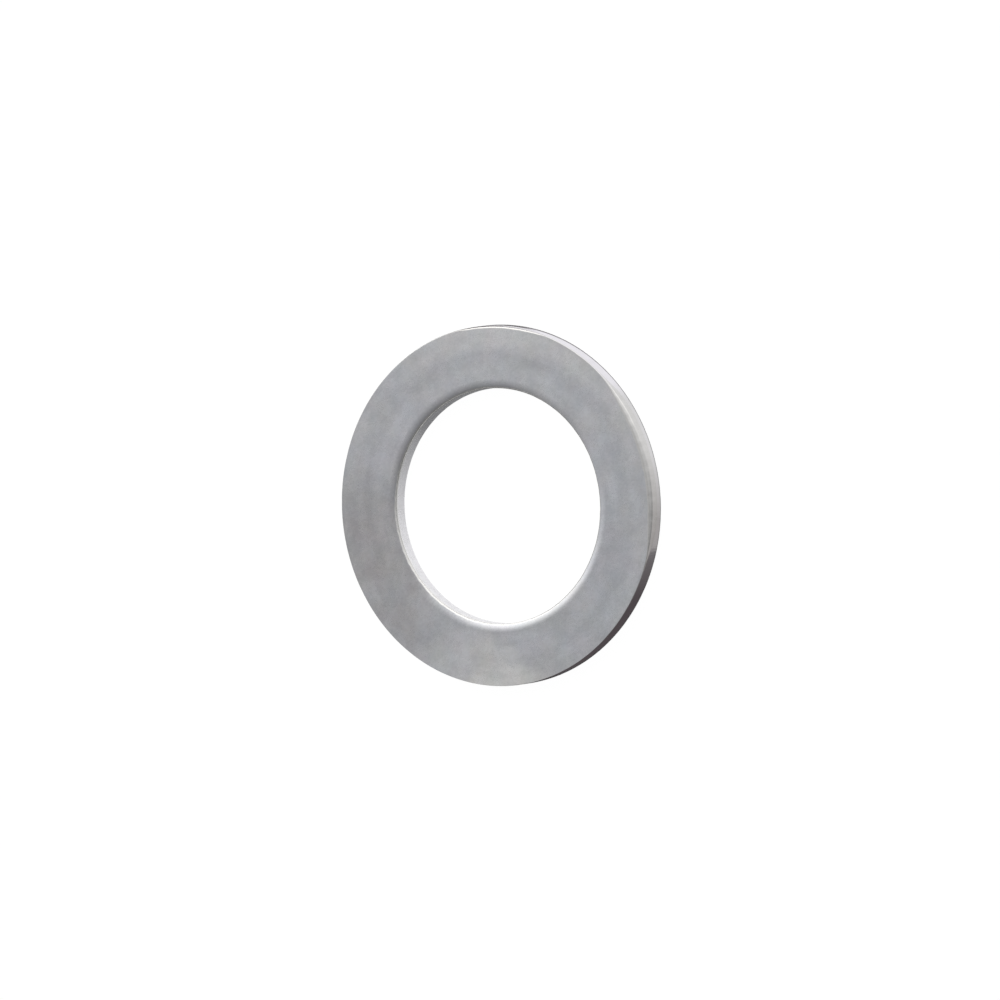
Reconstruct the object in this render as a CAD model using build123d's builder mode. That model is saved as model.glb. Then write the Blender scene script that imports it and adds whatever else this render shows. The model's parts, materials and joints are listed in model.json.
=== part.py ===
from build123d import *
import os
from math import radians, tan

# Retainer washer: a flat steel ring, pierced and blanked from strip and then tumbled.
#
# Lengths are in millimetres. The washer lies flat on Z = 0, with its bore along +Z and
# the origin at the centre of its lower face.
#
# A sheared ring has two kinds of edge. Where a tool pressed on the strip, it dragged the
# skin down before the metal parted, and left a rollover: a smooth slope that steepens
# until it meets the cut wall at a lip. The hole was pierced from above, so its rollover
# is at the top of the bore. The ring was then pushed out through the die, so the rim's
# rollover is underneath. The two opposite edges parted square, and tumbling only broke
# their corners.

# --- Ring -------------------------------------------------------------------------
outer_diameter = 32.0
bore_diameter = 21.0
thickness = 1.6

# --- Rollover at the top of the bore ----------------------------------------------
bore_rollover_width = 0.80      # radial reach, from the bore wall out into the face
bore_rollover_depth = 0.20      # drop of the lip below the upper face
bore_lip_slope = 38.0           # degrees from the face, where the slope meets the wall

# --- Rollover at the bottom of the rim --------------------------------------------
rim_rollover_width = 0.60       # radial reach, from the rim wall in under the face
rim_rollover_depth = 0.12       # rise of the lip above the lower face
rim_lip_slope = 45.0            # degrees from the face, where the slope meets the wall

# --- Tumbled edges ----------------------------------------------------------------
lip_radius = 0.10               # both rollover lips
upper_rim_break = 0.09          # square edge at the top of the rim
lower_bore_break = 0.08         # square edge at the bottom of the bore

outer_radius = outer_diameter / 2
bore_radius = bore_diameter / 2

# Each rollover is a quadratic curve. Its middle control point lies on the face, where
# the tangent at the lip crosses it, so the curve leaves the face flat and reaches the
# wall at the lip slope.
bore_lip_run = bore_rollover_depth / tan(radians(bore_lip_slope))
rim_lip_run = rim_rollover_depth / tan(radians(rim_lip_slope))

with BuildPart() as retainer_washer:
    # Half section, to the +X side of the bore axis
    with BuildSketch(Plane.XZ):
        with BuildLine():
            upper_face = Line(
                (bore_radius + bore_rollover_width, thickness),
                (outer_radius, thickness),
            )
            rim_wall = Line(upper_face @ 1, (outer_radius, rim_rollover_depth))
            rim_rollover = Bezier(
                rim_wall @ 1,
                (outer_radius - rim_lip_run, 0),
                (outer_radius - rim_rollover_width, 0),
            )
            lower_face = Line(rim_rollover @ 1, (bore_radius, 0))
            bore_wall = Line(lower_face @ 1, (bore_radius, thickness - bore_rollover_depth))
            Bezier(
                bore_wall @ 1,
                (bore_radius + bore_lip_run, thickness),
                upper_face @ 0,
            )
        make_face()
    revolve(axis=Axis.Z)

    # The circles in which the two walls end, from the lowest to the highest
    circles = retainer_washer.edges().filter_by(GeomType.CIRCLE)
    bore_bottom, bore_lip = (
        circles.filter_by(lambda edge: abs(edge.radius - bore_radius) < lip_radius)
        .sort_by(Axis.Z)
    )
    rim_lip, rim_top = (
        circles.filter_by(lambda edge: abs(edge.radius - outer_radius) < lip_radius)
        .sort_by(Axis.Z)
    )
    fillet([bore_lip, rim_lip], lip_radius)
    fillet(rim_top, upper_rim_break)
    fillet(bore_bottom, lower_bore_break)

retainer_washer.part.label = "retainer_washer"

os.makedirs("parts", exist_ok=True)
export_step(retainer_washer.part, "parts/retainer_washer.step")
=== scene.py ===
import json
from math import cos, pi, radians, sin, tan

import bpy
import numpy as np
from bpy.props import FloatProperty, FloatVectorProperty, IntProperty, PointerProperty
from mathutils import Matrix, Quaternion, Vector


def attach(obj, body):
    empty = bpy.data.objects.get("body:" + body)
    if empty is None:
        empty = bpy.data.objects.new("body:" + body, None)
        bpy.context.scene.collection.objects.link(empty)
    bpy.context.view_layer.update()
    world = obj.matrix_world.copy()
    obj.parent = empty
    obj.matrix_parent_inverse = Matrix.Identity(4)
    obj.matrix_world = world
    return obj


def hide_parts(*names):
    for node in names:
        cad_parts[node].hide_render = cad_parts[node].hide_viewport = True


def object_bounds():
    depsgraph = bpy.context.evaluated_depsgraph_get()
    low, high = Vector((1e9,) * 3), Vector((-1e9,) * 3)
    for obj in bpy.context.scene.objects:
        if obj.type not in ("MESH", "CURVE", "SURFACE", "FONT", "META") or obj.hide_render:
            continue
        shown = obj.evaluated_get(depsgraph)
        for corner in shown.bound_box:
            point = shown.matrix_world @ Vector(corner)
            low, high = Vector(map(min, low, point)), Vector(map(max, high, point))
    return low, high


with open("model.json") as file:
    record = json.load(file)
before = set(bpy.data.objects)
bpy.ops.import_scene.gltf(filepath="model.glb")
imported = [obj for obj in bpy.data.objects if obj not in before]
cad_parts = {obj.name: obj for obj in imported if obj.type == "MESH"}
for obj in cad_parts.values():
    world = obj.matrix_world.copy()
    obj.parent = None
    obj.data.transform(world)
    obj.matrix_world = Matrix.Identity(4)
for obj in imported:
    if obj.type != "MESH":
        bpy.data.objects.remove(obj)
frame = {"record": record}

bl_info = {
    "name": "Retainer Washer",
    "version": (1, 0, 0),
    "blender": (4, 5, 0),
    "location": "3D View > Sidebar > Washer",
    "description": "Builds a tumbled steel retainer washer and the studio it lies in",
    "category": "Add Mesh",
}

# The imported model, which the new ring has to fit. Lengths are in metres.
CAD_NODE = "retainer_washer"
MM = 0.001
CAD_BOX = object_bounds()
CAD_LOW, CAD_HIGH = CAD_BOX
CAD_BORE = next(m for m in frame["record"]["mounts"] if m["name"] == "bore")

# Which surfaces of the ring are rounded edges, and which have the finish of a wall.
ROUNDED_EDGES = ("upper_rim_break", "rim_lip", "lower_bore_break", "bore_lip")
FINISH_OF = {"rim_wall": "rim", "rim_lip": "rim", "lower_bore_break": "bore", "bore_wall": "bore",
             "bore_lip": "lip", "upper_rim_break": "edge"}

# Soft patches on the upper face, as (centre, radius) in millimetres. The pale one is painted light, the dull
# one painted shade and the rubbed one a painted warm reflection; the quiet one only calms the faint ring.
FACE_PATCHES = {
    "pale": ((17.5, -3.0, 1.6), 24.5),
    "rubbed": ((-18.8, 2.9, 1.6), 8.4),
    "dull": ((-4.5, 14.5, 1.6), 12.5),
    "quiet": ((-9.0, -9.0, 1.6), 15.0),
}
# Colour of the rubbed patch, which is a painted warm reflection.
PAINTED_WARM_REFLECTION = (1.0, 0.985, 0.95)

# Marks of the wall finishes. Shares are of the colour, and depths are in metres.
RIM_MARKS = {"torn": 0.0, "streak_share": 0.03, "streak_depth": 1.0e-6, "grain_depth": 0.5e-6}
BORE_MARKS = {"torn": 0.25, "streak_share": 0.07, "streak_depth": 2.5e-6, "grain_depth": 1.2e-6}
RUBBED_MARKS = {"torn": 0.0, "streak_share": 0.04, "streak_depth": 0.6e-6, "grain_depth": 1.5e-6}


# --- Properties ---------------------------------------------------------------------


class WasherShape(bpy.types.PropertyGroup):
    """Sizes of the ring's section."""

    outer_radius: FloatProperty(
        name="Outer Radius", description="Radius of the rim wall",
        default=min(CAD_HIGH.x, CAD_HIGH.y, -CAD_LOW.x, -CAD_LOW.y),
        unit="LENGTH", subtype="DISTANCE",
    )
    bore_radius: FloatProperty(
        name="Bore Radius", description="Radius of the bore wall, just inside that of the mount",
        default=(CAD_BORE["dims"]["r_mm"] - 0.08) * MM, unit="LENGTH", subtype="DISTANCE",
    )
    bore_offset: FloatProperty(
        name="Bore Offset", description="How far the bore's middle lies off the rim's",
        default=0.06 * MM, unit="LENGTH", subtype="DISTANCE",
    )
    offset_bearing: FloatProperty(
        name="Offset Bearing", description="Bearing of that offset, from +X towards -Y",
        default=radians(160), unit="ROTATION", subtype="ANGLE",
    )
    thickness: FloatProperty(
        name="Thickness", description="Height of the upper face above the lower one",
        default=CAD_HIGH.z - CAD_LOW.z, unit="LENGTH", subtype="DISTANCE",
    )
    bore_rollover_width: FloatProperty(
        name="Bore Rollover Width", description="How far the rollover reaches out into the upper face",
        default=0.80 * MM, unit="LENGTH", subtype="DISTANCE",
    )
    bore_rollover_depth: FloatProperty(
        name="Bore Rollover Depth", description="How far its lip lies below the upper face",
        default=0.20 * MM, unit="LENGTH", subtype="DISTANCE",
    )
    bore_lip_slope: FloatProperty(
        name="Bore Lip Slope", description="Slope at which the rollover meets the bore wall",
        default=radians(38), unit="ROTATION", subtype="ANGLE",
    )
    bore_lip_cut: FloatProperty(
        name="Bore Lip Rounding", description="How much of the bore wall the rounding of its lip takes",
        default=0.175 * MM, unit="LENGTH", subtype="DISTANCE",
    )
    rim_rollover_width: FloatProperty(
        name="Rim Rollover Width", description="How far the rollover reaches in under the lower face",
        default=0.60 * MM, unit="LENGTH", subtype="DISTANCE",
    )
    rim_rollover_depth: FloatProperty(
        name="Rim Rollover Depth", description="How far its lip lies above the lower face",
        default=0.12 * MM, unit="LENGTH", subtype="DISTANCE",
    )
    rim_lip_slope: FloatProperty(
        name="Rim Lip Slope", description="Slope at which the rollover meets the rim wall",
        default=radians(45), unit="ROTATION", subtype="ANGLE",
    )
    rim_lip_cut: FloatProperty(
        name="Rim Lip Rounding", description="How much of the rim wall the rounding of its lip takes",
        default=0.07 * MM, unit="LENGTH", subtype="DISTANCE",
    )
    upper_rim_break: FloatProperty(
        name="Upper Rim Break", description="Mean width of the rounding along the top of the rim",
        default=0.032 * MM, unit="LENGTH", subtype="DISTANCE",
    )
    break_lean: FloatProperty(
        name="Break Lean", description="Share by which that break is wider towards its bearing",
        default=0.90, min=0, max=0.9, subtype="FACTOR",
    )
    lean_bearing: FloatProperty(
        name="Lean Bearing", description="Bearing on which it is widest, from +X towards -Y",
        default=radians(45), unit="ROTATION", subtype="ANGLE",
    )
    break_wear: FloatProperty(
        name="Break Wear", description="Width added to that break on its worn side",
        default=0.48 * MM, unit="LENGTH", subtype="DISTANCE",
    )
    wear_bearing: FloatProperty(
        name="Wear Bearing", description="Bearing of the worn side, from +X towards -Y",
        default=radians(80), unit="ROTATION", subtype="ANGLE",
    )
    wear_spread: FloatProperty(
        name="Wear Spread", description="Angle over which that wear fades out",
        default=radians(27), unit="ROTATION", subtype="ANGLE",
    )
    rub_wear: FloatProperty(
        name="Rub Wear", description="Width added to that break by a second, smaller rub",
        default=0.17 * MM, unit="LENGTH", subtype="DISTANCE",
    )
    rub_bearing: FloatProperty(
        name="Rub Bearing", description="Bearing of the second rub, from +X towards -Y",
        default=radians(7), unit="ROTATION", subtype="ANGLE",
    )
    rub_spread: FloatProperty(
        name="Rub Spread", description="Angle over which the second rub fades out",
        default=radians(14), unit="ROTATION", subtype="ANGLE",
    )
    break_steepness: FloatProperty(
        name="Break Steepness", description="Height of the upper rim break as a share of its width",
        default=2.8, min=0.5, max=4,
    )
    lower_bore_break: FloatProperty(
        name="Lower Bore Break", description="Tumbled rounding of the square edge at the bottom of the bore",
        default=0.08 * MM, unit="LENGTH", subtype="DISTANCE",
    )
    tumble_unevenness: FloatProperty(
        name="Tumble Unevenness", description="Share by which the rounded edges vary round the ring",
        default=0.30, min=0, max=0.6, subtype="FACTOR",
    )
    break_unevenness: FloatProperty(
        name="Break Unevenness", description="Share by which the upper rim break varies in short waves",
        default=0.12, min=0, max=1, subtype="FACTOR",
    )
    rim_skew: FloatProperty(
        name="Rim Skew", description="How far the top of the sheared rim is pushed sideways",
        default=0.04 * MM, unit="LENGTH", subtype="DISTANCE",
    )
    skew_bearing: FloatProperty(
        name="Skew Bearing", description="Bearing the top is pushed away from, from +X towards -Y",
        default=radians(15), unit="ROTATION", subtype="ANGLE",
    )
    nick_depth: FloatProperty(
        name="Nick Depth", description="How far the deepest nick in the upper rim break reaches in",
        default=0.022 * MM, unit="LENGTH", subtype="DISTANCE",
    )
    nick_count: IntProperty(
        name="Nicks", description="Number of small nicks in the upper rim break",
        default=90, min=0,
    )
    turn_steps: IntProperty(
        name="Steps Round the Ring", description="Mesh columns in one turn",
        default=720, min=12,
    )


class WasherFinish(bpy.types.PropertyGroup):
    """Colours, roughnesses and marks of the bare steel."""

    face_steel: FloatVectorProperty(
        name="Face Steel", description="Reflected colour of the satin faces",
        subtype="COLOR", size=3, default=(0.612, 0.622, 0.657), min=0, max=1,
    )
    # Colour of the dull patch, which is painted shade on the face.
    dull_steel: FloatVectorProperty(
        name="Dull Steel", description="Reflected colour where the satin face is dull",
        subtype="COLOR", size=3, default=(0.515, 0.507, 0.522), min=0, max=1,
    )
    # Colour of the pale patch, which is painted light on the face.
    pale_steel: FloatVectorProperty(
        name="Pale Steel", description="Reflected colour where the satin face is pale",
        subtype="COLOR", size=3, default=(0.80, 0.802, 0.820), min=0, max=1,
    )
    worn_steel: FloatVectorProperty(
        name="Worn Steel", description="Reflected colour of rubbed edges",
        subtype="COLOR", size=3, default=(0.74, 0.74, 0.75), min=0, max=1,
    )
    rim_steel: FloatVectorProperty(
        name="Rim Steel", description="Reflected colour of the burnished rim wall",
        subtype="COLOR", size=3, default=(0.80, 0.79, 0.80), min=0, max=1,
    )
    bore_steel: FloatVectorProperty(
        name="Bore Steel", description="Reflected colour of the sheared bore wall",
        subtype="COLOR", size=3, default=(0.915, 0.908, 0.930), min=0, max=1,
    )
    edge_steel: FloatVectorProperty(
        name="Edge Steel", description="Colour of the lips and edges that the tumbling rubbed bright",
        default=(0.765, 0.757, 0.750), size=3, subtype="COLOR",
    )
    lip_steel: FloatVectorProperty(
        name="Lip Steel", description="Colour of the lip between the bore and its rollover",
        default=(0.90, 0.89, 0.875), size=3, subtype="COLOR",
    )
    face_roughness: FloatProperty(
        name="Face Roughness", description="Roughness of the satin faces",
        default=0.27, min=0, max=1, subtype="FACTOR",
    )
    rim_roughness: FloatProperty(
        name="Rim Roughness", description="Roughness of the burnished rim wall",
        default=0.09, min=0, max=1, subtype="FACTOR",
    )
    bore_roughness: FloatProperty(
        name="Bore Roughness", description="Roughness of the sheared bore wall",
        default=0.28, min=0, max=1, subtype="FACTOR",
    )
    edge_roughness: FloatProperty(
        name="Edge Roughness", description="Roughness of the rubbed lips and edges",
        default=0.20, min=0, max=1, subtype="FACTOR",
    )
    grain_size: FloatProperty(
        name="Grain Size", description="Width of the finest pits that tumbling leaves, in millimetres",
        default=0.25, min=0.02,
    )
    grain_depth: FloatProperty(
        name="Grain Depth", description="Relief of the grain, in micrometres",
        default=2.0, min=0,
    )
    wear_reach: FloatProperty(
        name="Wear Reach", description="How far wear reaches from an edge, in millimetres",
        default=0.7, min=0.01,
    )


class WasherStudio(bpy.types.PropertyGroup):
    """Camera, floor and light."""

    camera_elevation: FloatProperty(
        name="Camera Elevation", description="Angle of the line of sight above the floor",
        default=radians(59.35), unit="ROTATION", subtype="ANGLE",
    )
    camera_roll: FloatProperty(
        name="Camera Roll", description="Turn of the camera about its line of sight",
        default=radians(-94.74), unit="ROTATION", subtype="ANGLE",
    )
    camera_distance: FloatProperty(
        name="Camera Distance", description="Distance from the camera to the washer",
        default=1.6, unit="LENGTH", subtype="DISTANCE",
    )
    view_width: FloatProperty(
        name="View Width", description="Width of what the camera sees at the washer",
        default=88.47 * MM, unit="LENGTH", subtype="DISTANCE",
    )
    aim_right: FloatProperty(
        name="Aim Right", description="How far the camera aims to the right of the washer's middle",
        default=-0.09 * MM, unit="LENGTH", subtype="DISTANCE",
    )
    aim_up: FloatProperty(
        name="Aim Up", description="How far the camera aims above the washer's middle",
        default=0.45 * MM, unit="LENGTH", subtype="DISTANCE",
    )
    floor_size: FloatProperty(
        name="Floor Size", description="Side of the square floor",
        default=6.0, unit="LENGTH", subtype="DISTANCE",
    )
    floor_colour: FloatVectorProperty(
        name="Floor Colour", description="Colour of the matt white floor",
        subtype="COLOR", size=3, default=(0.94, 0.94, 0.94), min=0, max=1,
    )
    # Width of the painted contact shadow: the darkened strip of floor beside the rim that metal sees.
    contact_reach: FloatProperty(
        name="Contact Reach", description="Width of the floor beside the rim that metal still sees",
        default=0.09 * MM, unit="LENGTH", subtype="DISTANCE",
    )
    shadow_lift: FloatProperty(
        name="Shadow Lift", description="Share of the floor that shows plain white through its shadow",
        default=0.93, min=0, max=1, subtype="FACTOR",
    )
    sky_level: FloatProperty(
        name="Sky Level", description="Brightness of the sky overhead",
        default=0.425, min=0,
    )
    sky_fall: FloatProperty(
        name="Sky Fall", description="How steeply the sky darkens away from its bright side",
        default=1.12, min=0,
    )
    sky_bearing: FloatProperty(
        name="Sky Bearing", description="Bearing of the sky's bright side, from +X towards -Y",
        default=radians(-19), unit="ROTATION", subtype="ANGLE",
    )
    horizon_level: FloatProperty(
        name="Horizon Level", description="Brightness that the low bright side of the sky adds",
        default=0.45, min=0,
    )
    lamp_level: FloatProperty(
        name="Lamp Level", description="Brightness that the soft lamp adds in its middle",
        default=0.60, min=0,
    )
    lamp_bearing: FloatProperty(
        name="Lamp Bearing", description="Bearing of the soft lamp, from +X towards -Y",
        default=radians(-46.5), unit="ROTATION", subtype="ANGLE",
    )
    lamp_elevation: FloatProperty(
        name="Lamp Elevation", description="Height of the soft lamp's middle above the horizon",
        default=radians(34), unit="ROTATION", subtype="ANGLE",
    )
    fill_level: FloatProperty(
        name="Fill Level", description="Strength of the wide fill light across from the lamp",
        default=0.17, min=0,
    )
    fill_bearing: FloatProperty(
        name="Fill Bearing", description="Bearing of the fill light, from +X towards -Y",
        default=radians(55), unit="ROTATION", subtype="ANGLE",
    )


# --- Ring mesh ----------------------------------------------------------------------


def turns(shape):
    """Angles of the mesh columns round the ring, from 0 up to a full turn, which is left out."""
    return np.linspace(0, 2 * pi, shape.turn_steps, endpoint=False)


def uneven(angle, share, phase):
    """Factor that wanders round 1 by up to about that share as the angle goes once round.

    It is 1 + share times a weighted mean of cosines of 3, 7, 16, 41, 67 and 109 times the
    angle.
    """
    orders = np.array((3, 7, 16, 41, 67, 109))[:, None]
    weights = np.array((0.15, 0.15, 0.15, 0.2, 0.2, 0.15))[:, None]
    wander = (weights * np.cos(orders * (angle + phase * orders))).sum(axis=0)
    return 1 + share * wander


def bell(angle, bearing, spread):
    """Flat-topped bell curve exp(-(gap / spread)^6) of the gap from each angle to a bearing."""
    gap = (angle + bearing + pi) % (2 * pi) - pi
    return np.exp(-((gap / spread) ** 6))


def nicks(angle, count, seed):
    """Depth of small nicks at each angle, from 0 to about 1.

    It is a sum of bell curves exp(-(gap / width)^2) at seeded random places.
    """
    random = np.random.default_rng(seed)
    place = random.uniform(0, 2 * pi, (count, 1))
    width = random.uniform(0.008, 0.030, (count, 1))
    depth = random.uniform(0.1, 1.0, (count, 1)) ** 2
    gap = (angle - place + pi) % (2 * pi) - pi
    return (depth * np.exp(-((gap / width) ** 2))).sum(axis=0)


def point(radius, height):
    """One section point for each mesh column, as an array (column, radius height)."""
    return np.stack(np.broadcast_arrays(radius, height), axis=-1).astype(float)


def quadratic(start, middle, end, steps):
    """Points of a quadratic curve in each column, its end left out.

    With t from 0 to 1 they are start (1-t)^2 + middle 2t(1-t) + end t^2.
    """
    t = np.linspace(0, 1, steps, endpoint=False)[:, None, None]
    return start * (1 - t) ** 2 + middle * 2 * t * (1 - t) + end * t**2


def straight(start, end, steps):
    """Points of a straight line in each column, its end left out, closer together at both ends.

    With t from 0 to 1 they are start + (end - start) (1 - cos(pi t)) / 2.
    """
    t = np.linspace(0, 1, steps, endpoint=False)[:, None, None]
    return start + (end - start) * (1 - np.cos(pi * t)) / 2


def cut_rollover(start, middle, lip, cut):
    """Middle and end of a rollover whose quadratic curve stops that far before its lip.

    The curve is split at t = 1 - cut / (2 |lip - middle|), by halving its control lines in
    that ratio.
    """
    t = 1 - cut[:, None] / (2 * np.linalg.norm(lip - middle, axis=-1, keepdims=True))
    first = start + (middle - start) * t
    second = middle + (lip - middle) * t
    return first, first + (second - first) * t


def ring_section(shape):
    """Section of the ring in every column, as one array of points for each of its surfaces.

    It is a closed chain of straight lines and quadratic curves. It runs out over the upper
    face, down the rim, in under the lower face, up the bore and over the bore's rollover. A
    rollover leaves its face flat and meets its wall at the lip slope. Each rounded edge is
    a quadratic curve whose middle point is the sharp corner, and its size wanders a little
    round the ring. The break at the top of the rim grows towards one bearing by a cosine, and
    is wider by a bell curve on each of two worn sides. It reaches down the wall by its
    steepness times its width where it is small, and by at most 1.2 mm. The rim wall leans by
    the skew times the cosine of the angle from the skew bearing, and the bore is round about
    its own middle.
    """
    angle, share = turns(shape), shape.tumble_unevenness
    top, depth = shape.thickness, shape.rim_rollover_depth
    bore = shape.bore_radius + shape.bore_offset * np.cos(angle + shape.offset_bearing)
    rim = shape.outer_radius - shape.rim_skew
    lean = shape.rim_skew / (top - depth) * np.cos(angle + shape.skew_bearing)
    nick = shape.nick_depth * nicks(angle, shape.nick_count, 5)
    soft_rim = shape.upper_rim_break * (1 + shape.break_lean * np.cos(angle + shape.lean_bearing))
    soft_rim = soft_rim + shape.break_wear * bell(angle, shape.wear_bearing, shape.wear_spread)
    soft_rim = soft_rim + shape.rub_wear * bell(angle, shape.rub_bearing, shape.rub_spread)
    soft_rim = soft_rim * uneven(angle, shape.break_unevenness, 0.7)
    soft_wall = 1.2 * MM * (1 - np.exp(-shape.break_steepness * soft_rim / (1.2 * MM))) + nick
    soft_rim = soft_rim + nick
    soft_bore = shape.lower_bore_break * uneven(angle, share, 2.1)
    bore_cut = shape.bore_lip_cut * uneven(angle, share, 1.3)
    rim_cut = shape.rim_lip_cut * uneven(angle, share, 3.6)

    def rim_point(height):
        return point(rim - (height - depth) * lean, height)

    bore_lip_height = top - shape.bore_rollover_depth
    bore_run = shape.bore_rollover_depth / tan(shape.bore_lip_slope)
    bore_lip = point(bore, bore_lip_height)
    bore_start = point(bore + shape.bore_rollover_width, top)
    bore_middle = point(bore + bore_run, top)
    bore_bend, bore_end = cut_rollover(bore_start, bore_middle, bore_lip, bore_cut)

    rim_run = depth / tan(shape.rim_lip_slope)
    rim_lip = rim_point(depth)
    rim_start = point(rim - shape.rim_rollover_width + 0 * angle, 0)
    rim_middle = point(rim - rim_run + 0 * angle, 0)
    rim_bend, rim_end = cut_rollover(rim_start, rim_middle, rim_lip, rim_cut)

    rim_corner, bore_corner = rim_point(top), point(bore, 0)
    face_end = rim_corner - point(soft_rim, 0)
    wall_start, wall_end = rim_point(top - soft_wall), rim_point(depth + rim_cut)
    under_end, bore_foot = bore_corner + point(soft_bore, 0), point(bore, soft_bore)
    bore_head = point(bore, bore_lip_height - bore_cut)
    return {
        "upper_face": straight(bore_start, face_end, 16),
        "upper_rim_break": quadratic(face_end, rim_corner, wall_start, 14),
        "rim_wall": straight(wall_start, wall_end, 8),
        "rim_lip": quadratic(wall_end, rim_lip, rim_end, 10),
        "rim_rollover": quadratic(rim_end, rim_bend, rim_start, 10),
        "lower_face": straight(rim_start, under_end, 12),
        "lower_bore_break": quadratic(under_end, bore_corner, bore_foot, 8),
        "bore_wall": straight(bore_foot, bore_head, 10),
        "bore_lip": quadratic(bore_head, bore_lip, bore_end, 10),
        "bore_rollover": quadratic(bore_end, bore_bend, bore_start, 20),
    }


def edge_distance(surfaces):
    """Distance along the section from each of its points to the nearest rounded edge.

    It is the smallest difference in length run, either way round the closed section, to
    the middle of a rounded edge.
    """
    chain = np.concatenate([points[:, 0] for points in surfaces.values()])
    steps = np.linalg.norm(np.roll(chain, -1, axis=0) - chain, axis=-1)
    run = np.cumsum(steps) - steps
    ends = np.cumsum([len(points) for points in surfaces.values()])
    edges = [
        run[end - len(points) // 2]
        for (name, points), end in zip(surfaces.items(), ends)
        if name in ROUNDED_EDGES
    ]
    apart = np.abs(run[:, None] - np.array(edges))
    return np.minimum(apart, steps.sum() - apart).min(axis=1)


def revolve_section(section, angle):
    """Vertices of a section turned about Z, as an array (section point, column, x y z).

    A point (radius r, height z) at turn a becomes (r cos a, r sin a, z).
    """
    radius, height = section[..., 0], section[..., 1]
    return np.stack((radius * np.cos(angle), radius * np.sin(angle), height), axis=-1)


def closed_grid_mesh(name, points):
    """Mesh of a grid of points that closes on itself in both directions, faces outwards."""
    rows, columns = points.shape[:2]
    index = np.arange(rows * columns).reshape(rows, columns)
    below, beside = np.roll(index, -1, axis=0), np.roll(index, -1, axis=1)
    corner = np.roll(below, -1, axis=1)
    quads = np.stack((index, below, corner, beside), axis=-1).reshape(-1, 4)
    mesh = bpy.data.meshes.new(name)
    mesh.vertices.add(rows * columns)
    mesh.vertices.foreach_set("co", points.astype(np.float32).ravel())
    mesh.loops.add(quads.size)
    mesh.loops.foreach_set("vertex_index", quads.astype(np.int32).ravel())
    mesh.polygons.add(len(quads))
    mesh.polygons.foreach_set("loop_start", np.arange(0, quads.size, 4, dtype=np.int32))
    mesh.polygons.foreach_set("use_smooth", np.ones(len(quads), bool))
    mesh.update(calc_edges=True)
    return mesh


# --- Materials ----------------------------------------------------------------------


class Nodes:
    """Adds linked nodes to one node tree.

    A value given for a socket is another node's output, or a number, vector or colour to
    set it to.
    """

    def __init__(self, tree):
        self.tree = tree

    def put(self, socket, value):
        """Link or set one input socket."""
        if isinstance(value, bpy.types.NodeSocket):
            self.tree.links.new(value, socket)
        elif socket.type == "RGBA" and len(value) == 3:
            socket.default_value = (*value, 1)
        else:
            socket.default_value = value

    def add(self, kind, sockets=(), **settings):
        """A node of that kind with its settings, and values for input sockets by name or number."""
        made = self.tree.nodes.new(kind)
        for name, value in settings.items():
            setattr(made, name, value)
        for key, value in dict(sockets).items():
            self.put(made.inputs[key], value)
        return made

    def math(self, operation, *values, clamp=False):
        return self.add(
            "ShaderNodeMath", enumerate(values), operation=operation, use_clamp=clamp
        ).outputs[0]

    def vector(self, operation, *values):
        made = self.add("ShaderNodeVectorMath", enumerate(values), operation=operation)
        return made.outputs["Value" if operation in ("DOT_PRODUCT", "LENGTH", "DISTANCE") else "Vector"]

    def scale(self, vector, factor):
        return self.add(
            "ShaderNodeVectorMath", {0: vector, "Scale": factor}, operation="SCALE"
        ).outputs["Vector"]

    def smooth(self, value, low, high, start=0.0, end=1.0):
        """Smooth step from start, where the value is low, to end, where it is high."""
        return self.add(
            "ShaderNodeMapRange",
            {"Value": value, "From Min": low, "From Max": high, "To Min": start, "To Max": end},
            interpolation_type="SMOOTHSTEP",
        ).outputs["Result"]

    def mix(self, factor, first, second):
        """Colour from the first, where the factor is 0, to the second, where it is 1."""
        return self.add(
            "ShaderNodeMix", {0: factor, 6: first, 7: second}, data_type="RGBA"
        ).outputs[2]

    def noise(self, vector, scale, detail=2.0, roughness=0.5, **more):
        return self.add(
            "ShaderNodeTexNoise",
            {"Vector": vector, "Scale": scale, "Detail": detail, "Roughness": roughness, **more},
        ).outputs[0]

    def ramp(self, value, *stops):
        """Colour from stops of (position, colour)."""
        made = self.add("ShaderNodeValToRGB", {0: value})
        elements = made.color_ramp.elements
        while len(elements) < len(stops):
            elements.new(0.5)
        for element, (position, colour) in zip(elements, stops):
            element.position, element.color = position, (*colour, 1)
        return made.outputs["Color"]

    def group(self, group, **sockets):
        """A placed group, its inputs given by their names with _ for a space."""
        named = {name.replace("_", " ").title(): value for name, value in sockets.items()}
        return self.add("ShaderNodeGroup", node_tree=group, sockets=named).outputs


def empty_tree(owner):
    """The node tree of a material or world, emptied."""
    owner.use_nodes = True
    owner.node_tree.nodes.clear()
    return owner.node_tree


def new_group(name, inputs, outputs):
    """An effect group with sockets given as (name, kind, default).

    Gives its nodes, its inputs and a function that links its outputs in order.
    """
    tree = bpy.data.node_groups.new(name, "ShaderNodeTree")
    for title, kind, default in inputs:
        made = tree.interface.new_socket(name=title, in_out="INPUT", socket_type="NodeSocket" + kind)
        if default is not None:
            made.default_value = default
    for title in outputs:
        tree.interface.new_socket(name=title, in_out="OUTPUT", socket_type="NodeSocketFloat")
    nodes = Nodes(tree)
    start = nodes.add("NodeGroupInput")

    def finish(*values):
        nodes.add("NodeGroupOutput", enumerate(values))
        return tree

    return nodes, start.outputs, finish


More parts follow.
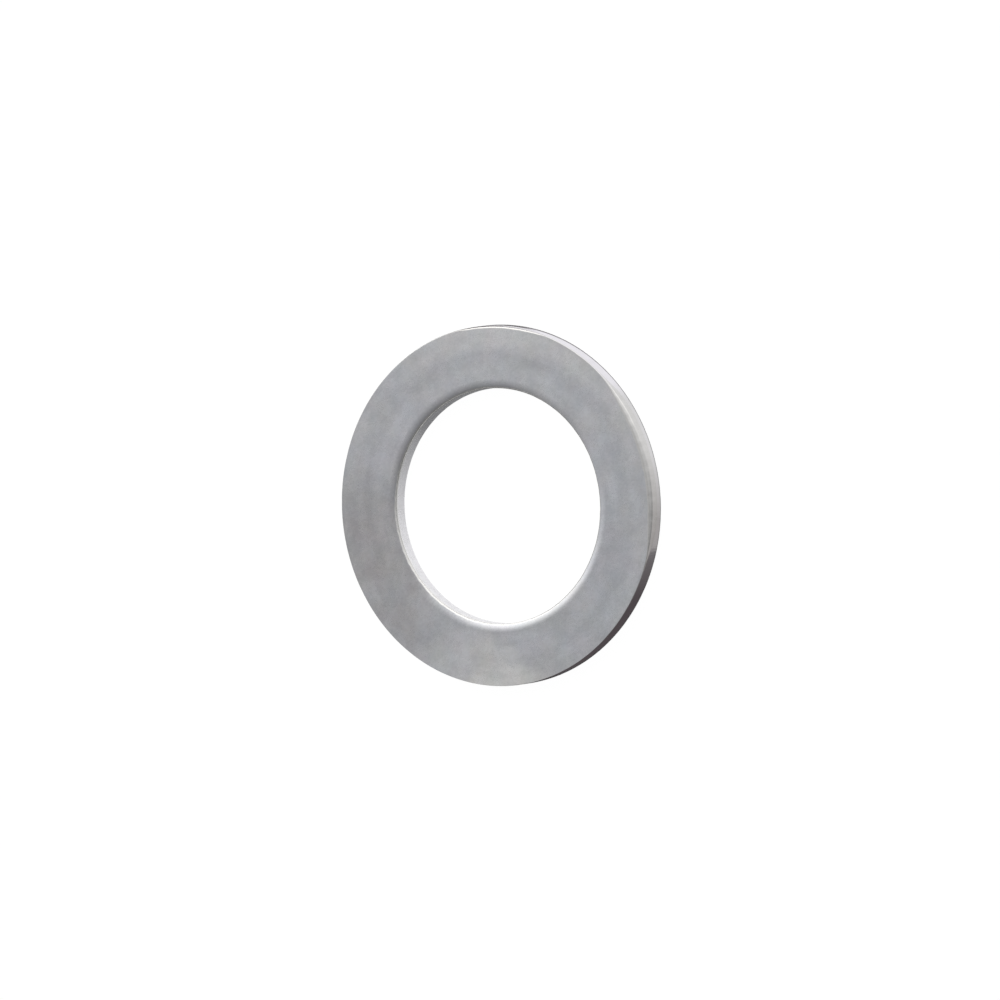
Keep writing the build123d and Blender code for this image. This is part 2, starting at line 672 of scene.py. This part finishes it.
def tumbled_grain():
    """Grain of tumbled steel: fine pits, and the soft mottle and slow waves under them.

    Fractal noise at three sizes, each spread to use the range from 0 to 1.
    """
    nodes, given, finish = new_group(
        "tumbled_grain",
        (("Vector", "Vector", None), ("Grain Size", "Float", 0.16), ("Mottle Size", "Float", 1.2),
         ("Wave Size", "Float", 5.0)),
        ("Grain", "Mottle", "Wave"),
    )
    in_mm = nodes.scale(given["Vector"], 1000)
    per_grain = nodes.math("DIVIDE", 1.0, given["Grain Size"])
    per_mottle = nodes.math("DIVIDE", 1.0, given["Mottle Size"])
    per_wave = nodes.math("DIVIDE", 1.0, given["Wave Size"])
    grain = nodes.noise(in_mm, per_grain, 2.0, 0.6)
    mottle = nodes.noise(nodes.vector("ADD", in_mm, (31.0, 7.0, 3.0)), per_mottle, 4.0, 0.6)
    wave = nodes.noise(nodes.vector("ADD", in_mm, (5.0, 47.0, 11.0)), per_wave, 2.0, 0.5)
    return finish(
        nodes.smooth(grain, 0.22, 0.78), nodes.smooth(mottle, 0.24, 0.76), nodes.smooth(wave, 0.28, 0.72)
    )


def hairline_scratches():
    """Sparse hairline scratches in three directions.

    For each direction, noise stretched along it is cut to its highest crests, and broken up
    by slow noise.
    """
    nodes, given, finish = new_group(
        "hairline_scratches",
        (("Vector", "Vector", None), ("Length", "Float", 3.0), ("Width", "Float", 0.08)),
        ("Scratch",),
    )
    in_mm = nodes.scale(given["Vector"], 1000)
    stretch = nodes.add(
        "ShaderNodeCombineXYZ",
        {"X": nodes.math("DIVIDE", 1.0, given["Length"]), "Y": nodes.math("DIVIDE", 1.0, given["Width"]),
         "Z": 0.5},
    ).outputs[0]
    total = None
    for turn, shift in ((0.35, 3.0), (1.50, 17.0), (2.55, 29.0)):
        turned = nodes.add(
            "ShaderNodeMapping",
            {"Vector": in_mm, "Rotation": (0, 0, turn), "Location": (shift, shift, 0)},
        ).outputs[0]
        lines = nodes.noise(nodes.vector("MULTIPLY", turned, stretch), 1.0, 1.0, 0.4)
        gate = nodes.noise(turned, 0.30, 1.0, 0.5)
        cut = nodes.math("MULTIPLY", nodes.smooth(lines, 0.70, 0.76), nodes.smooth(gate, 0.50, 0.62))
        total = cut if total is None else nodes.math("MAXIMUM", total, cut)
    return finish(total)


def edge_wear():
    """Wear beside the edges: it falls off exponentially from them, broken up by a mottle."""
    nodes, given, finish = new_group(
        "edge_wear",
        (("Edge Distance", "Float", 1.0), ("Reach", "Float", 0.7), ("Breakup", "Float", 0.5)),
        ("Wear",),
    )
    fall = nodes.math("DIVIDE", given["Edge Distance"], given["Reach"])
    near = nodes.math("EXPONENT", nodes.math("MULTIPLY", fall, -1.0))
    broken = nodes.smooth(given["Breakup"], 0.0, 1.0, 0.6, 1.4)
    return finish(nodes.math("MULTIPLY", near, broken, clamp=True))


def press_streaks():
    """Streaks that the press leaves up a wall: noise stretched along Z."""
    nodes, given, finish = new_group(
        "press_streaks",
        (("Vector", "Vector", None), ("Width", "Float", 0.2), ("Length", "Float", 4.0)),
        ("Streak",),
    )
    in_mm = nodes.scale(given["Vector"], 1000)
    across = nodes.math("DIVIDE", 1.0, given["Width"])
    stretch = nodes.add(
        "ShaderNodeCombineXYZ",
        {"X": across, "Y": across, "Z": nodes.math("DIVIDE", 1.0, given["Length"])},
    ).outputs[0]
    lines = nodes.noise(nodes.vector("MULTIPLY", in_mm, stretch), 1.0, 3.0, 0.6)
    return finish(nodes.smooth(lines, 0.25, 0.75))


def ring_bands():
    """Faint bands round the ring: noise stretched along the turn, one ring, and the outer part.

    The ring is the bell curve exp(-((radius - ring radius) / ring width)^2), and the outer
    part a smooth step of the radius.
    """
    nodes, given, finish = new_group(
        "ring_bands",
        (("Vector", "Vector", None), ("Band Width", "Float", 1.0), ("Ring Radius", "Float", 12.0),
         ("Ring Width", "Float", 0.5), ("Outer Radius", "Float", 14.0)),
        ("Bands", "Ring", "Outer"),
    )
    flat = nodes.vector("MULTIPLY", nodes.scale(given["Vector"], 1000), (1.0, 1.0, 0.0))
    radius = nodes.vector("LENGTH", flat)
    around = nodes.scale(nodes.vector("NORMALIZE", flat), 1.7)
    axis = nodes.add("ShaderNodeSeparateXYZ", {0: around}).outputs
    across = nodes.math("DIVIDE", radius, given["Band Width"])
    place = nodes.add("ShaderNodeCombineXYZ", {0: axis["X"], 1: axis["Y"], 2: across}).outputs[0]
    bands = nodes.smooth(nodes.noise(place, 1.0, 2.0, 0.5), 0.28, 0.72)
    gap = nodes.math(
        "DIVIDE", nodes.math("SUBTRACT", radius, given["Ring Radius"]), given["Ring Width"]
    )
    bell = nodes.math("EXPONENT", nodes.math("MULTIPLY", nodes.math("MULTIPLY", gap, gap), -1.0))
    outer = nodes.math("SUBTRACT", radius, given["Outer Radius"])
    return finish(bands, bell, nodes.smooth(outer, -0.7, 0.9))


def tint_flecks():
    """Faint tints in red and in blue, each from -0.5 to 0.5: slow clouds with small flecks.

    They are two channels of one noise in colour, so they vary apart from each other.
    """
    nodes, given, finish = new_group(
        "tint_flecks",
        (("Vector", "Vector", None), ("Drift Size", "Float", 2.4)),
        ("Red", "Blue"),
    )
    in_mm = nodes.vector("ADD", nodes.scale(given["Vector"], 1000), (71.0, 23.0, 9.0))
    drift = nodes.add(
        "ShaderNodeTexNoise",
        {"Vector": in_mm, "Scale": nodes.math("DIVIDE", 1.0, given["Drift Size"]), "Detail": 4.0,
         "Roughness": 0.62},
    ).outputs["Color"]
    part = nodes.add("ShaderNodeSeparateColor", {0: drift}).outputs
    return finish(
        nodes.smooth(part["Red"], 0.25, 0.75, -0.5, 0.5), nodes.smooth(part["Blue"], 0.25, 0.75, -0.5, 0.5)
    )


def soft_patch():
    """A round patch with a soft, uneven border: 1 at its centre and 0 from its radius on."""
    nodes, given, finish = new_group(
        "soft_patch",
        (("Vector", "Vector", None), ("Centre", "Vector", None), ("Radius", "Float", 5.0),
         ("Breakup", "Float", 0.5)),
        ("Patch",),
    )
    away = nodes.vector("DISTANCE", nodes.scale(given["Vector"], 1000), given["Centre"])
    share = nodes.math("DIVIDE", away, given["Radius"])
    uneven_share = nodes.math("MULTIPLY_ADD", given["Breakup"], 0.5, nodes.math("SUBTRACT", share, 0.25))
    return finish(nodes.smooth(uneven_share, 1.0, 0.0))


def steel_effects():
    """All effect groups, built once, by name."""
    makers = (tumbled_grain, hairline_scratches, edge_wear, press_streaks, ring_bands,
              tint_flecks, soft_patch)
    return {maker.__name__: bpy.data.node_groups.get(maker.__name__) or maker() for maker in makers}


def new_steel(name):
    """A new metal material: it, its nodes, its shader, its Object coordinates and edge distance."""
    material = bpy.data.materials.new(name)
    nodes = Nodes(empty_tree(material))
    steel = nodes.add("ShaderNodeBsdfPrincipled", {"Metallic": 1.0})
    nodes.add("ShaderNodeOutputMaterial", {"Surface": steel.outputs["BSDF"]})
    place = nodes.add("ShaderNodeTexCoord").outputs["Object"]
    edge = nodes.add("ShaderNodeAttribute", attribute_name="edge_distance").outputs["Fac"]
    return material, nodes, steel, place, edge


def relief(nodes, steel, *layers):
    """Bump from layers of (height, depth in metres), linked to the shader's normal."""
    total = None
    for height, depth in layers:
        part = nodes.math("MULTIPLY", height, depth * 1e6)
        total = part if total is None else nodes.math("ADD", total, part)
    bump = nodes.add("ShaderNodeBump", {"Height": total, "Distance": 1e-6, "Strength": 1.0})
    nodes.put(steel.inputs["Normal"], bump.outputs["Normal"])


def satin_face_steel(finish, effects):
    """Tumbled satin faces and rollovers: cloudy, finely pitted, paler where edges are rubbed, with painted
    light, painted shade and a painted warm reflection in soft patches.
    """
    material, nodes, steel, place, edge = new_steel("satin_face_steel")
    grain = nodes.group(effects["tumbled_grain"], vector=place, grain_size=finish.grain_size,
                        mottle_size=1.3, wave_size=5.5)
    scratch = nodes.group(effects["hairline_scratches"], vector=place, length=3.2, width=0.07)[0]
    wear = nodes.group(effects["edge_wear"], edge_distance=edge, reach=finish.wear_reach,
                       breakup=grain["Mottle"])[0]
    patch = {
        name: nodes.group(effects["soft_patch"], vector=place, centre=centre, radius=radius,
                          breakup=grain["Wave"])[0]
        for name, (centre, radius) in FACE_PATCHES.items()
    }
    bands = nodes.group(effects["ring_bands"], vector=place, band_width=1.1, ring_radius=12.0,
                        ring_width=0.55, outer_radius=13.9)
    tint = nodes.group(effects["tint_flecks"], vector=place, drift_size=2.4)

    # The pale patch is painted light, strongest towards the outer edge.
    mostly_outer = nodes.math("MULTIPLY_ADD", bands["Outer"], 0.90, 0.10)
    painted_outer_light = nodes.math("MULTIPLY", patch["pale"], mostly_outer)
    # The dull patch is painted shade.
    colour = nodes.mix(patch["dull"], finish.face_steel, finish.dull_steel)
    colour = nodes.mix(painted_outer_light, colour, finish.pale_steel)
    # The rubbed patch is a painted warm reflection, not wear.
    colour = nodes.mix(patch["rubbed"], colour, PAINTED_WARM_REFLECTION)
    colour = nodes.mix(nodes.math("MULTIPLY", wear, 0.30), colour, finish.worn_steel)
    spread = nodes.math("MULTIPLY_ADD", grain["Grain"], 0.070, 0.965)
    for share, effect in ((0.074, grain["Mottle"]), (0.075, grain["Wave"]), (0.080, bands["Bands"])):
        spread = nodes.math("MULTIPLY", spread, nodes.math("MULTIPLY_ADD", effect, share, 1 - share / 2))
    ring = nodes.math("MULTIPLY", bands["Ring"], nodes.math("MULTIPLY_ADD", patch["quiet"], -0.07, 0.07))
    spread = nodes.math("MULTIPLY", spread, nodes.math("ADD", ring, 1.0))
    red = nodes.math("MULTIPLY_ADD", tint["Red"], 0.045, 1.0)
    blue = nodes.math("MULTIPLY_ADD", tint["Blue"], 0.045, 1.0)
    tinted = nodes.add("ShaderNodeCombineXYZ", {0: red, 1: 1.0, 2: blue}).outputs[0]
    colour = nodes.vector("MULTIPLY", colour, nodes.scale(tinted, spread))
    nodes.put(steel.inputs["Base Color"], colour)

    rough = nodes.math("MULTIPLY_ADD", grain["Mottle"], 0.10, finish.face_roughness - 0.05)
    rough = nodes.math("MULTIPLY_ADD", wear, -0.05, rough)
    rough = nodes.math("MULTIPLY_ADD", scratch, -0.08, rough)
    nodes.put(steel.inputs["Roughness"], rough)
    relief(nodes, steel, (grain["Grain"], finish.grain_depth * 1e-6), (grain["Mottle"], 1.5e-6),
           (grain["Wave"], 5e-6), (scratch, -0.8e-6))
    return material


def wall_steel(name, effects, colour, roughness, torn, streak_share, streak_depth, grain_depth):
    """Sheared wall: streaks up the wall, a light grain, and rubbed edges.

    Torn is how far its metal is broken up into facets that scatter light.
    """
    material, nodes, steel, place, edge = new_steel(name)
    grain = nodes.group(effects["tumbled_grain"], vector=place, grain_size=0.14, mottle_size=1.0,
                        wave_size=4.0)
    streak = nodes.group(effects["press_streaks"], vector=place, width=0.25, length=5.0)[0]
    wear = nodes.group(effects["edge_wear"], edge_distance=edge, reach=0.12, breakup=grain["Mottle"])[0]
    pale = tuple(min(1.0, channel * 1.06) for channel in colour)
    tone = nodes.mix(nodes.math("MULTIPLY", wear, 0.6), colour, pale)
    spread = nodes.math("MULTIPLY_ADD", streak, streak_share, 1 - streak_share / 2)
    spread = nodes.math("MULTIPLY", spread, nodes.math("MULTIPLY_ADD", grain["Mottle"], 0.05, 0.975))
    nodes.put(steel.inputs["Base Color"], nodes.vector("MULTIPLY", tone, nodes.add(
        "ShaderNodeCombineXYZ", {0: spread, 1: spread, 2: spread}).outputs[0]))
    rough = nodes.math("MULTIPLY_ADD", streak, roughness * 0.3, roughness * 0.85)
    nodes.put(steel.inputs["Roughness"], nodes.math("MULTIPLY_ADD", grain["Grain"], 0.03, rough))
    if torn:
        facets = nodes.smooth(grain["Mottle"], 0.0, 1.0, 1 - torn * 1.15, 1 - torn * 0.85)
        nodes.put(steel.inputs["Metallic"], facets)
    relief(nodes, steel, (streak, streak_depth), (grain["Grain"], grain_depth))
    return material


# --- Operators ----------------------------------------------------------------------


class WASHER_OT_ring(bpy.types.Operator):
    """Build the washer as one closed ring of bare steel"""

    bl_idname = "washer.ring"
    bl_label = "Build Ring"
    bl_options = {"REGISTER", "UNDO"}

    def execute(self, context):
        shape, finish = context.scene.washer_shape, context.scene.washer_finish
        surfaces = ring_section(shape)
        section = np.concatenate(list(surfaces.values()))
        mesh = closed_grid_mesh("washer_ring", revolve_section(section, turns(shape)))
        near = np.repeat(edge_distance(surfaces) / MM, shape.turn_steps)
        mesh.attributes.new("edge_distance", "FLOAT", "POINT").data.foreach_set("value", near)

        effects = steel_effects()
        finishes = {
            "face": satin_face_steel(finish, effects),
            "rim": wall_steel("burnished_rim_steel", effects, finish.rim_steel,
                              finish.rim_roughness, **RIM_MARKS),
            "bore": wall_steel("sheared_bore_steel", effects, finish.bore_steel,
                               finish.bore_roughness, **BORE_MARKS),
            "lip": wall_steel("rubbed_lip_steel", effects, finish.lip_steel,
                              finish.edge_roughness, **RUBBED_MARKS),
            "edge": wall_steel("rubbed_edge_steel", effects, finish.edge_steel,
                               finish.edge_roughness, **RUBBED_MARKS),
        }
        for material in finishes.values():
            mesh.materials.append(material)
        order = list(finishes)
        per_row = np.repeat(
            [order.index(FINISH_OF.get(name, "face")) for name in surfaces],
            [len(points) for points in surfaces.values()],
        )
        mesh.polygons.foreach_set("material_index", np.repeat(per_row, shape.turn_steps))
        ring = bpy.data.objects.new("washer_ring", mesh)
        context.scene.collection.objects.link(ring)
        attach(ring, "root")
        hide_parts(CAD_NODE)
        return {"FINISHED"}


class WASHER_OT_studio(bpy.types.Operator):
    """Set up the floor, the light and the camera"""

    bl_idname = "washer.studio"
    bl_label = "Build Studio"
    bl_options = {"REGISTER", "UNDO"}

    def execute(self, context):
        studio = context.scene.washer_studio
        self.floor(context, studio)
        self.sky(context, studio)
        self.camera(context, studio)
        context.scene.view_settings.view_transform = "Standard"
        return {"FINISHED"}

    def floor(self, context, studio):
        half = studio.floor_size / 2
        mesh = bpy.data.meshes.new("studio_floor")
        mesh.from_pydata(
            [(-half, -half, 0), (half, -half, 0), (half, half, 0), (-half, half, 0)],
            [], [(0, 1, 2, 3)],
        )
        mesh.materials.append(floor_material(studio))
        floor = bpy.data.objects.new("studio_floor", mesh)
        context.scene.collection.objects.link(floor)

    def sky(self, context, studio):
        context.scene.world = studio_world(studio)

    def camera(self, context, studio):
        elevation, roll = studio.camera_elevation, studio.camera_roll
        back = Vector((0, -cos(elevation), sin(elevation)))
        turn = Quaternion(back, roll) @ back.to_track_quat("Z", "Y")
        middle = (CAD_LOW + CAD_HIGH) / 2
        aim = turn @ Vector((studio.aim_right, studio.aim_up, 0))
        data = bpy.data.cameras.new("product_camera")
        data.sensor_width = 36.0
        data.lens = data.sensor_width * studio.camera_distance / studio.view_width
        data.clip_start, data.clip_end = 0.01, 20.0
        camera = bpy.data.objects.new("product_camera", data)
        camera.rotation_mode = "QUATERNION"
        camera.rotation_quaternion = turn
        camera.location = middle + back * studio.camera_distance + aim
        context.scene.collection.objects.link(camera)
        context.scene.camera = camera


# Tones that bare steel can see in the studio: the floor beside the rim, darkened as a painted contact
# shadow; the floor inside the bore, in painted light and painted shadow of the ring; and the lower surround,
# a painted reflection of the floor, with its white, the grey card that falls into painted shade, and the
# dark flag beside it, painted shade too.
PAINTED_CONTACT_SHADOW = (0.30, 0.29, 0.30)
FLOOR_LIT = (0.91, 0.91, 0.915)
FLOOR_SHADE = (0.21, 0.212, 0.216)
WHITE = (0.97, 0.96, 1.0)
CARD = (0.81, 0.81, 0.81)
CARD_SHADE = (0.42, 0.405, 0.40)
PAINTED_SHADE_FLAG_EDGE = (0.175, 0.165, 0.170)
PAINTED_SHADE_FLAG = (0.09, 0.076, 0.081)

# Where those tones stand, as (bearing in degrees from +X towards -Y, tone).
PAINTED_BORE_FLOOR = (
    (-180, FLOOR_LIT), (-106.2, FLOOR_LIT), (-45, FLOOR_SHADE), (160, FLOOR_SHADE), (180, FLOOR_LIT),
)
PAINTED_LOWER_REFLECTION = (
    (-180, PAINTED_SHADE_FLAG), (-59, PAINTED_SHADE_FLAG), (-49.7, WHITE), (12.6, WHITE), (27, CARD), (63, CARD),
    (108, CARD_SHADE), (125.3, CARD_SHADE), (128.9, PAINTED_SHADE_FLAG_EDGE), (162, PAINTED_SHADE_FLAG),
)


def bearing(angle):
    """Level direction on a bearing, which runs from +X towards -Y."""
    return Vector((cos(angle), -sin(angle), 0))


def bearing_share(nodes, axis):
    """Bearing of a vector as a share of a turn: 0 at -180 degrees, 1 at 180."""
    turn = nodes.math("ARCTAN2", nodes.math("MULTIPLY", axis["Y"], -1.0), axis["X"])
    return nodes.math("MULTIPLY_ADD", turn, 0.5 / pi, 0.5)


def tone_at(nodes, share, stops):
    """Tone at a share of a turn, from stops of (bearing in degrees, tone)."""
    return nodes.ramp(share, *((degrees / 360 + 0.5, tone) for degrees, tone in stops))


def floor_material(studio):
    """Matt white floor.

    The camera sees it mostly as plain white with a faint shadow. Metal sees three parts of it: the strip
    beside the rim, darkened in its colour as a painted contact shadow; the floor inside the bore, which
    glows in painted light and painted shadow, white where the light falls in and grey in the ring's shade,
    darkest towards the middle; and nothing beyond. There it looks past the floor to the lower half of the
    surround, which is a painted reflection too.
    """
    material = bpy.data.materials.new("studio_floor_white")
    nodes = Nodes(empty_tree(material))
    path = nodes.add("ShaderNodeLightPath").outputs
    # Metal sees the floor in a darker colour here: a painted contact shadow beside the rim.
    tone = nodes.mix(path["Is Glossy Ray"], tuple(studio.floor_colour), PAINTED_CONTACT_SHADOW)
    matt = nodes.add("ShaderNodeBsdfDiffuse", {"Color": tone}).outputs[0]
    white = nodes.add("ShaderNodeEmission", {"Strength": 1.05}).outputs[0]
    clear = nodes.add("ShaderNodeBsdfTransparent").outputs[0]
    back = nodes.add("ShaderNodeNewGeometry").outputs["Backfacing"]
    seen = nodes.math("MAXIMUM", path["Is Camera Ray"], path["Is Transmission Ray"])
    lift = nodes.math("MULTIPLY", seen, studio.shadow_lift)
    lifted = nodes.add("ShaderNodeMixShader", {0: lift, 1: matt, 2: white}).outputs[0]

    # For metal, the floor inside the bore glows in painted light on one side and the ring's painted shadow
    # on the other.
    place = nodes.add("ShaderNodeTexCoord").outputs["Object"]
    axis = nodes.add("ShaderNodeSeparateXYZ", {0: place}).outputs
    hole = tone_at(nodes, bearing_share(nodes, axis), PAINTED_BORE_FLOOR)
    radius = nodes.vector("LENGTH", place)
    bore_radius = CAD_BORE["dims"]["r_mm"] * MM
    shade_side = tuple(bearing(radians(-35)))
    towards = nodes.vector("DOT_PRODUCT", nodes.vector("NORMALIZE", place), shade_side)
    # Painted shade: darker deeper inside the bore on its shaded side.
    painted_deep_shade = nodes.smooth(radius, bore_radius * 0.88, bore_radius * 0.70)
    painted_deep_shade = nodes.math("MULTIPLY", painted_deep_shade, nodes.smooth(towards, 0.0, 0.6))
    level = nodes.math("MULTIPLY_ADD", painted_deep_shade, -0.40, 1.0)
    shaded = nodes.add("ShaderNodeEmission", {"Color": hole, "Strength": level}).outputs[0]
    inside = nodes.math("LESS_THAN", radius, CAD_HIGH.x * 0.8)
    inside = nodes.math("MULTIPLY", inside, path["Is Glossy Ray"])
    lifted = nodes.add("ShaderNodeMixShader", {0: inside, 1: lifted, 2: shaded}).outputs[0]
    beyond = nodes.math("SUBTRACT", radius, CAD_HIGH.x)
    outside = nodes.smooth(beyond, studio.contact_reach * 0.6, studio.contact_reach * 1.4)
    away = nodes.math("MULTIPLY", path["Is Glossy Ray"], outside)
    passed = nodes.math("MAXIMUM", away, back)
    whole = nodes.add("ShaderNodeMixShader", {0: passed, 1: lifted, 2: clear}).outputs[0]
    nodes.add("ShaderNodeOutputMaterial", {"Surface": whole})
    return material


def studio_world(studio):
    """Studio surround.

    Above the horizon is a sky that darkens exponentially away from its bright side, with a low strip, a
    round soft lamp and a wide fill added. Below it, seen only by metal through the floor, lies a painted
    reflection of the floor: white, with a grey card and a dark flag standing in it as painted shade. They
    follow the bearing, and one end of the flag slants.
    """
    world = bpy.data.worlds.new("studio_surround")
    world.cycles.sampling_method = "NONE"
    nodes = Nodes(empty_tree(world))
    direction = nodes.add("ShaderNodeTexCoord").outputs["Generated"]
    axis = nodes.add("ShaderNodeSeparateXYZ", {0: direction}).outputs

    def raised(angle):
        """Direction on a bearing, at the height of the lamp."""
        level = bearing(angle) * cos(studio.lamp_elevation)
        return (level.x, level.y, sin(studio.lamp_elevation))

    def spot(angle, edge):
        """Soft round spot: a smooth step of the cosine from its middle, from its edge to 1."""
        cosine = nodes.vector("DOT_PRODUCT", direction, raised(angle))
        return nodes.smooth(cosine, edge, 1.0)

    along = nodes.vector("DOT_PRODUCT", direction, tuple(bearing(studio.sky_bearing)))
    rise = nodes.math("EXPONENT", nodes.math("MULTIPLY", along, studio.sky_fall))
    near_horizon = nodes.smooth(axis["Z"], 0.05, 0.35, 1.0, 0.0)
    low = nodes.math("MULTIPLY", near_horizon, nodes.smooth(axis["X"], 0.1, 0.8))
    glow, fill = spot(studio.lamp_bearing, 0.80), spot(studio.fill_bearing, 0.55)
    level = nodes.math("MULTIPLY", rise, studio.sky_level)
    for light, strength in (
        (low, studio.horizon_level), (glow, studio.lamp_level), (fill, studio.fill_level)
    ):
        level = nodes.math("MULTIPLY_ADD", light, strength, level)
    warmth = nodes.math("MAXIMUM", glow, low)
    upper = nodes.scale(nodes.mix(warmth, (1.0, 1.0, 1.0), (1.0, 0.99, 0.965)), level)

    share = bearing_share(nodes, axis)
    slant = nodes.math("MULTIPLY_ADD", nodes.math("MINIMUM", axis["Z"], 0.0), -0.19, -0.163)
    slant = nodes.math("MULTIPLY", slant, nodes.smooth(share, 0.50, 0.65, 1.0, 0.0))
    # Painted reflection of the floor below the horizon: white, with the card and flag as painted shade.
    lower = tone_at(nodes, nodes.math("ADD", share, slant), PAINTED_LOWER_REFLECTION)
    surround = nodes.mix(nodes.smooth(axis["Z"], -0.10, 0.08), lower, upper)
    path = nodes.add("ShaderNodeLightPath").outputs
    plain = nodes.math("MAXIMUM", path["Is Camera Ray"], path["Is Transmission Ray"])
    seen = nodes.mix(plain, surround, (1.0, 1.0, 1.0))
    light = nodes.add("ShaderNodeBackground", {"Color": seen}).outputs[0]
    nodes.add("ShaderNodeOutputWorld", {"Surface": light})
    return world


# --- Panel --------------------------------------------------------------------------


class WASHER_PT_panel(bpy.types.Panel):
    """Sizes, finish and studio of the washer"""

    bl_idname = "WASHER_PT_panel"
    bl_label = "Retainer Washer"
    bl_space_type = "VIEW_3D"
    bl_region_type = "UI"
    bl_category = "Washer"

    def draw(self, context):
        groups = (
            (context.scene.washer_shape, None),
            (context.scene.washer_finish, WASHER_OT_ring),
            (context.scene.washer_studio, WASHER_OT_studio),
        )
        for group, operator in groups:
            column = self.layout.column(align=True)
            for name in group.__annotations__:
                column.prop(group, name)
            if operator:
                self.layout.operator(operator.bl_idname)


PROPERTY_GROUPS = {
    "washer_shape": WasherShape,
    "washer_finish": WasherFinish,
    "washer_studio": WasherStudio,
}
CLASSES = (*PROPERTY_GROUPS.values(), WASHER_OT_ring, WASHER_OT_studio, WASHER_PT_panel)


def register():
    """Registers the classes and puts the property groups on the scene."""
    for cls in CLASSES:
        bpy.utils.register_class(cls)
    for name, group in PROPERTY_GROUPS.items():
        setattr(bpy.types.Scene, name, PointerProperty(type=group))


def unregister():
    """Takes the property groups off the scene and unregisters the classes."""
    for name in PROPERTY_GROUPS:
        delattr(bpy.types.Scene, name)
    for cls in reversed(CLASSES):
        bpy.utils.unregister_class(cls)


def main():
    register()
    bpy.ops.washer.ring()
    bpy.ops.washer.studio()


if __name__ == "__main__":
    main()
